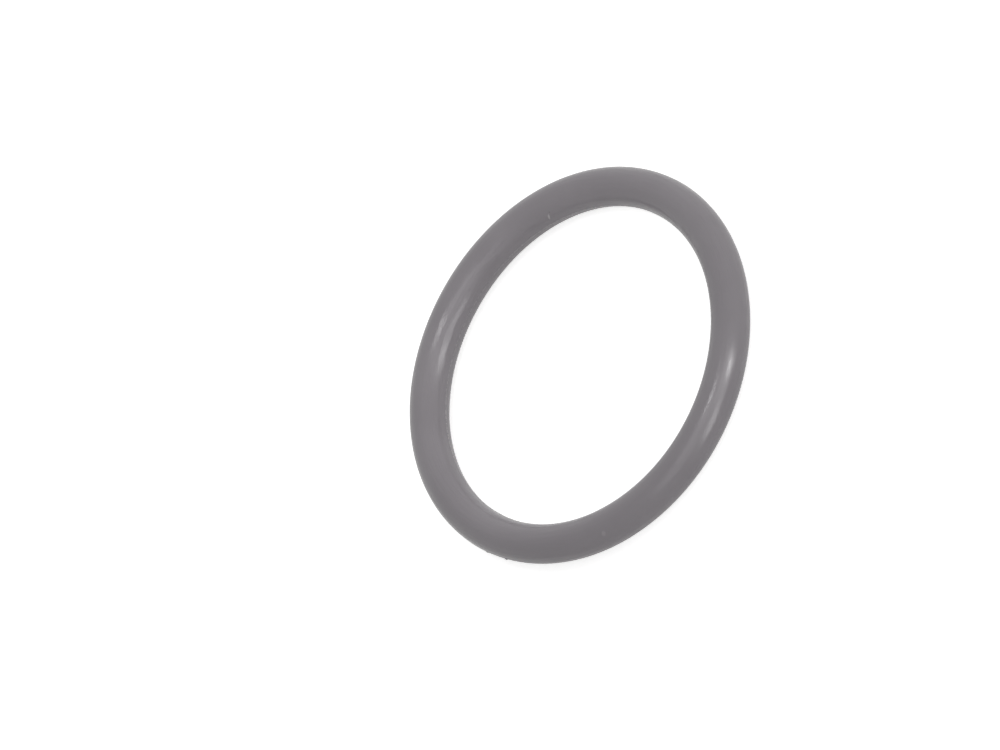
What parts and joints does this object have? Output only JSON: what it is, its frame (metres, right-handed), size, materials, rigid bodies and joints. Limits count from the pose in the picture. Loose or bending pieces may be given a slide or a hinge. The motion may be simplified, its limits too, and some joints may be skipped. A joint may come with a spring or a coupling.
{
  "type": "o-ring",
  "caption": "Plain moulded rubber o-ring of round section, a ring seal for a groove round a shaft or in a bore.",
  "frame": {"origin": "centre of the ring, on its parting plane", "axes": "+Z along the ring's axis, square to the plane it lies in; X and Y are any two directions across the ring"},
  "size_m": [0.0256, 0.0256, 0.0024],
  "materials": {
    "rubber": null
  },
  "bodies": {
    "root": {"o_ring": "rubber"}
  },
  "joints": []
}
